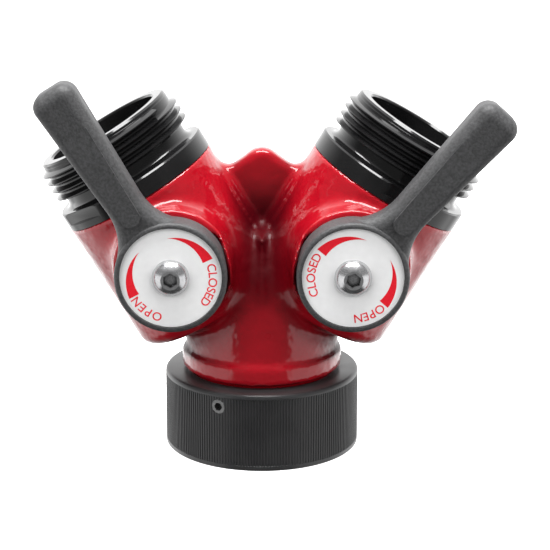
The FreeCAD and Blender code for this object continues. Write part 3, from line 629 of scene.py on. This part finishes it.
adapter_corners = 192
outlet_turns = 3.9
crests_above_middle = 1.5
thread_tail, pilot_len = 0.00123, 0.00150
neck_relief, pilot_relief, pilot_step = 0.00104, 0.00014, 0.0001
collar_low, collar_top, collar_r = 0.0230, 0.0291, 0.0267
collar_bevel = 0.0005
spigot_r, spigot_low = 0.0234, 0.01148
seat_r, seat_floor = 0.0205, 0.0192
groove_r, groove_low, groove_w = 0.0216, 0.0200, 0.0022
neck_top, root_rise = 0.0336, 0.0006
neck_fillet, fillet_shares = 0.0020, (0.075, 0.295, 0.62)
rim_bevel = 0.0006
flat_turns = {"left": -45, "right": 10}
flat_reach, flat_h, jaw_w = 0.0252, 0.0040, 0.006
upright = Vector((0, 0, 1))
for side in sides:
    thread = mounts["outlet_thread_" + side]
    crest_r = thread["dims"]["r_mm"] / 1000
    root_r = crest_r - thread_depth
    neck_r = root_r - neck_relief
    pilot_r = root_r - pilot_relief
    bore_r = mounts["outlet_bore_" + side]["dims"]["r_mm"] / 1000
    thread_middle = branch_place(Vector(thread["pos_m"]), side)[0]
    top_crest = thread_middle + crests_above_middle * thread_pitch
    thread_end = top_crest + thread_tail
    mouth = thread_end + pilot_len
    outline = [
        (bore_r, seat_floor),
        (seat_r, seat_floor),
        (seat_r, spigot_low),
        (spigot_r, spigot_low),
        (spigot_r, groove_low),
        (groove_r, groove_low),
        (groove_r, groove_low + groove_w),
        (spigot_r, groove_low + groove_w),
        (spigot_r, collar_low),
        (collar_r, collar_low),
        (collar_r, collar_top - collar_bevel),
        (collar_r - collar_bevel, collar_top),
        *reversed(quarter_round(neck_r, collar_top, neck_fillet, fillet_shares)),
        (neck_r, neck_top),
        (root_r, neck_top + root_rise),
        (root_r, thread_end),
        (pilot_r, thread_end + pilot_step),
        (pilot_r, mouth - rim_bevel),
        (pilot_r - rim_bevel, mouth),
        (bore_r + rim_bevel, mouth),
        (bore_r, mouth - rim_bevel),
    ]
    adapter = turn_ring("adapter_threaded_" + side, outline, adapter_corners)
    flat_turn = math.radians(flat_turns[side])
    for turn in (flat_turn, flat_turn + math.pi):
        bpy.ops.object.select_all(action="DESELECT")
        bpy.ops.mesh.primitive_cube_add(size=1)
        jaw = bpy.context.active_object
        jaw.scale = (2 * collar_r, jaw_w, flat_h)
        jaw.location = (0, -flat_reach - jaw_w / 2, collar_top - flat_h / 2)
        bpy.ops.object.transform_apply(location=True, rotation=True, scale=True)
        jaw.rotation_euler = (0, 0, turn)
        drill(adapter, jaw)
    ridge = helix(
        "thread_ridge_" + side, root_r - thread_sink, crest_r,
        outlet_turns, top_crest - outlet_turns * thread_pitch)
    bpy.ops.object.mode_set(mode="EDIT")
    bpy.ops.mesh.select_all(action="SELECT")
    bpy.ops.mesh.bisect(
        plane_co=(0, 0, neck_top), plane_no=upright, use_fill=True, clear_inner=True)
    bpy.ops.object.mode_set(mode="OBJECT")
    weld_together(adapter, ridge)
    lean = upright.rotation_difference(Vector(thread["axis"]))
    adapter.rotation_euler = lean.to_euler()
    adapter.location = branches[side][0]
    bpy.ops.object.transform_apply(location=True, rotation=True, scale=True)
    smooth_turning(adapter)
    adapter.data.materials.append(black_gloss)
    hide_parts("adapter_" + side)
    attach(adapter, "body")


# Levers: a round hub with a recess for the dial, and a waisted arm with a raised panel.
# They are cast aluminium under a dark grey satin coat with a fine sandy grain.
# Each sits on the square of its stem and is held by the screw in the dial.
grey_coat, tree, shader, place = new_finish("grey_satin_coat")
sand = grain(tree, place, scale=1250, detail=3)
cloud = grain(tree, place, scale=70, detail=2)
sandy_grey = tint(tree, sand, (0.040, 0.040, 0.041), (0.076, 0.076, 0.078))
tree.links.new(sandy_grey, shader.inputs["Base Color"])
tree.links.new(spread(tree, cloud, low=0.46, high=0.58), shader.inputs["Roughness"])
tree.links.new(relief(tree, sand, depth=0.00030, strength=0.60), shader.inputs["Normal"])
for side in sides:
    dress("lever_" + side, grey_coat)


# Dial plates: thin discs in the hubs, with an arrow and a word for each way of turning.
# They are aluminium, coated white and screen printed in red.
# The screw clamps each plate to its hub.
plate_coat, tree, shader, place = new_finish("white_plate_coat")
mist = grain(tree, place, scale=400, detail=3)
vary(tree, shader, mist, dark=(0.90, 0.90, 0.90), light=(0.94, 0.94, 0.94),
     smooth=0.30, rough=0.40)
red_ink, tree, shader, place = new_finish("red_screen_ink")
speckle = grain(tree, place, scale=1500, detail=2)
vary(tree, shader, speckle, dark=(0.82, 0.010, 0.024), light=(0.90, 0.014, 0.030),
     smooth=0.35, rough=0.45)

# Angles of the print are in degrees from the top of each label, and a word has the angles of
# its first and last letter. The radii of the arrows are shares of the plate's radius.
label_turn = {"left": -26.6, "right": 40.6}
words = {
    "left": [("CLOSED", 102, 152), ("OPEN", -134, -99)],
    "right": [("CLOSED", -152, -101), ("OPEN", 100, 132)],
}
ink_h = 0.00003
cap_h, cap_share = 0.0028, 0.73
word_r = 0.01328
stroke_growth = 0.00003
arrow_blunt, arrow_tip = 91, 23
arrow_steps = 28
arrow_in, arrow_out, arrow_point = 0.70, 0.915, 0.80
tip_share = 0.01
seed_w = 0.001
step_turn = math.radians(arrow_blunt - arrow_tip) / arrow_steps
for side in sides:
    dress("dial_" + side, plate_coat)
    plate_low, plate_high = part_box("dial_" + side)
    plate_r = (plate_high.x - plate_low.x) / 2
    centre = (plate_low + plate_high) / 2
    face_y = plate_low.y
    print_pieces = []
    for way in (-1, 1):
        blunt_in, blunt_out = arrow_in * plate_r, arrow_out * plate_r
        blunt_middle, blunt_w = (blunt_in + blunt_out) / 2, blunt_out - blunt_in
        tip_r = arrow_point * plate_r
        bpy.ops.object.select_all(action="DESELECT")
        bpy.ops.mesh.primitive_plane_add(size=1)
        arrow = bpy.context.active_object
        arrow.scale = (seed_w, blunt_w, 1)
        arrow.location = (seed_w / 2, blunt_middle, 0)
        bpy.ops.object.transform_apply(location=True, rotation=True, scale=True)
        pick(arrow, lambda at: at.x > seed_w / 2)
        bpy.ops.mesh.delete(type="VERT")
        bpy.ops.mesh.select_all(action="SELECT")
        middle_r, width = blunt_middle, blunt_w
        for step in range(arrow_steps):
            done = (step + 1) / arrow_steps
            next_middle = blunt_middle * (1 - done) + tip_r * done
            next_width = blunt_w * max(1 - done, tip_share)
            share = next_width / width
            pivot_r = (next_middle - share * middle_r) / (1 - share)
            turn = -way * step * step_turn
            pivot = (pivot_r * math.sin(turn), pivot_r * math.cos(turn), 0)
            bpy.ops.mesh.extrude_edges_move()
            bpy.ops.transform.resize(value=(share, share, 1), center_override=pivot)
            bpy.ops.transform.rotate(
                value=-way * step_turn, orient_axis="Z", center_override=(0, 0, 0))
            middle_r, width = next_middle, next_width
        bpy.ops.object.mode_set(mode="OBJECT")
        bpy.ops.object.modifier_add(type="SOLIDIFY")
        arrow.modifiers[-1].thickness = ink_h
        bpy.ops.object.modifier_apply(modifier=arrow.modifiers[-1].name)
        arrow_turn = math.radians(label_turn[side] + way * arrow_blunt)
        arrow.rotation_euler = (math.pi / 2, arrow_turn, 0)
        print_pieces.append(arrow)
    for word, first, last in words[side]:
        glyphs = []
        for letter in word:
            bpy.ops.object.select_all(action="DESELECT")
            bpy.ops.object.text_add()
            text = bpy.context.active_object
            text.data.body = letter
            text.data.size = cap_h / cap_share
            text.data.align_x = "CENTER"
            text.data.extrude = ink_h / 2
            text.data.offset = stroke_growth
            bpy.ops.object.convert(target="MESH")
            glyph = bpy.context.active_object
            glyph.location = (0, word_r - cap_h / 2, 0)
            bpy.ops.object.transform_apply(location=True, rotation=True, scale=True)
            glyphs.append(glyph)
        widths = [glyph.dimensions.x for glyph in glyphs]
        word_len = math.radians(abs(last - first)) * word_r
        pairs = [(one + other) / 2 for one, other in zip(widths, widths[1:])]
        space = (word_len - sum(pairs)) / len(pairs)
        run = 0
        for glyph, pair in zip(glyphs, pairs + [0]):
            angle = first + (last - first) * run / word_len
            glyph.rotation_euler = (math.pi / 2, math.radians(label_turn[side] + angle), 0)
            print_pieces.append(glyph)
            run = run + pair + space
    bpy.ops.object.select_all(action="DESELECT")
    for piece in print_pieces:
        piece.select_set(True)
        piece.location = (centre.x, face_y - ink_h, centre.z)
    bpy.context.view_layer.objects.active = print_pieces[0]
    bpy.ops.object.transform_apply(location=True, rotation=True, scale=True)
    bpy.ops.object.join()
    dial_print = bpy.context.active_object
    dial_print.name = "dial_print_" + side
    bpy.ops.object.mode_set(mode="EDIT")
    bpy.ops.mesh.select_all(action="SELECT")
    bpy.ops.mesh.remove_doubles(threshold=weld_gap)
    bpy.ops.mesh.normals_make_consistent(inside=False)
    bpy.ops.object.mode_set(mode="OBJECT")
    dial_print.data.materials.clear()
    dial_print.data.materials.append(red_ink)
    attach(dial_print, "valve_" + side)


# Lever screws: button heads with a hexagonal socket, which is painted dark inside as shade, from local occlusion.
# They are stainless steel, polished on the head.
# Each passes the dial and the lever and is screwed into the stem.
socket_reach, socket_range = 0.0022, (0.35, 0.80)
painted_socket_shade = (0.07, 0.07, 0.07)
bright_steel, tree, shader, place = new_finish("polished_stainless")
shader.inputs["Metallic"].default_value = 0.85
polish = grain(tree, place, scale=900, detail=3)
open_steel = tint(tree, polish, (0.52, 0.52, 0.53), (0.62, 0.62, 0.63))
out_of_socket = fade(tree, openness(tree, socket_reach), *socket_range, 0.0, 1.0)
# Painted shade: the steel's colour goes to dark grey inside the socket, where little light reaches.
steel_with_painted_socket_shade = darken(tree, out_of_socket, painted_socket_shade, open_steel)
tree.links.new(steel_with_painted_socket_shade, shader.inputs["Base Color"])
tree.links.new(spread(tree, polish, low=0.14, high=0.24), shader.inputs["Roughness"])
for side in sides:
    dress("lever_screw_" + side, bright_steel)


# Stage: a white sweep to stand on, soft boxes at both sides and above, and the camera.
# The sides and the back are bright and the room in front is dim, as in a product photograph.
# The camera stands where the photograph was taken, a little above the dials.
sweep_size, sweep_back = 8, 1.5
bpy.ops.object.select_all(action="DESELECT")
bpy.ops.mesh.primitive_plane_add(size=sweep_size, location=(0, sweep_back, 0))
sweep_floor = bpy.context.active_object
sweep_floor.name = "white_sweep"
paper, tree, shader, place = new_finish("white_paper")
fibre = grain(tree, place, scale=3, detail=2)
paper_white = tint(tree, fibre, (0.90, 0.90, 0.90), (0.93, 0.93, 0.93))
tree.links.new(paper_white, shader.inputs["Base Color"])
shader.inputs["Roughness"].default_value = 0.9
shader.inputs["Emission Color"].default_value = (1, 1, 1, 1)
shader.inputs["Emission Strength"].default_value = 0.9
sweep_floor.data.materials.append(paper)
sweep_floor.visible_glossy = False
sweep_floor.visible_diffuse = False

# The light of the room by direction: each pair of limits, then the strength at each limit.
front_to_back, room_light = (-0.1, 0.9), (0.17, 1.8)
floor_to_side, floor_share = (-0.90, -0.30), (0.20, 1.0)
table_edge, table_light = (0.60, 0.72), (0.0, 1.1)
table_rise, table_share = (0.0, 0.25), (1.0, 0.0)
wall_to_ceiling, ceiling_light = (0.55, 1.0), (0.0, 0.6)
world = bpy.data.worlds.new("studio")
bpy.context.scene.world = world
world.use_nodes = True
sky = world.node_tree
toward = sky.nodes.new("ShaderNodeTexCoord")
axes = sky.nodes.new("ShaderNodeSeparateXYZ")
sky.links.new(toward.outputs["Generated"], axes.inputs["Vector"])
backdrop = fade(sky, axes.outputs["Y"], *front_to_back, *room_light)
under = fade(sky, axes.outputs["Z"], *floor_to_side, *floor_share)
sideways = combine(sky, "ABSOLUTE", axes.outputs["X"])
table_end = fade(sky, sideways, *table_edge, *table_light)
table_top = fade(sky, axes.outputs["Z"], *table_rise, *table_share)
room = combine(sky, "MULTIPLY", backdrop, under)
table = combine(sky, "MULTIPLY", table_end, table_top)
ceiling = fade(sky, axes.outputs["Z"], *wall_to_ceiling, *ceiling_light)
lit = combine(sky, "ADD", combine(sky, "ADD", room, table), ceiling)
sky.links.new(lit, sky.nodes["Background"].inputs["Strength"])
sky.nodes["Background"].inputs["Color"].default_value = (1, 1, 1, 1)


def soft_box(name, stand, aim, width, height, power, mirrored):
    # An area light of the given size that faces a point.
    light = bpy.data.lights.new(name, "AREA")
    light.shape = "RECTANGLE"
    light.size = width
    light.size_y = height
    light.energy = power
    lamp = bpy.data.objects.new(name, light)
    lamp.location = stand
    lamp.rotation_euler = (Vector(aim) - Vector(stand)).to_track_quat("-Z", "Y").to_euler()
    lamp.visible_glossy = mirrored
    bpy.context.scene.collection.objects.link(lamp)


lit_point = (0, 0, 0.07)
side_size, side_power = 0.7, 4.5
for name, stand in (("left_box", (-0.70, -0.60, 0.50)), ("right_box", (0.70, -0.60, 0.50))):
    soft_box(name, stand, lit_point, side_size, side_size, side_power, mirrored=False)
soft_box("top_box", (0, -0.10, 0.90), lit_point, width=0.8, height=0.30, power=13, mirrored=True)

photo_px, focal_px, shift_px = 550, 1883, 13.1
camera_place, camera_tilt = (0, -0.6044, 0.2278), 15.758
view = bpy.data.cameras.new("photo_camera")
view.sensor_width = 36
view.lens = focal_px / photo_px * view.sensor_width
view.shift_x = shift_px / photo_px
view.clip_end = 50
camera = bpy.data.objects.new("photo_camera", view)
camera.location = camera_place
camera.rotation_euler = (math.radians(90 - camera_tilt), 0, 0)
bpy.context.scene.collection.objects.link(camera)
bpy.context.scene.camera = camera
bpy.context.scene.view_settings.view_transform = "Standard"
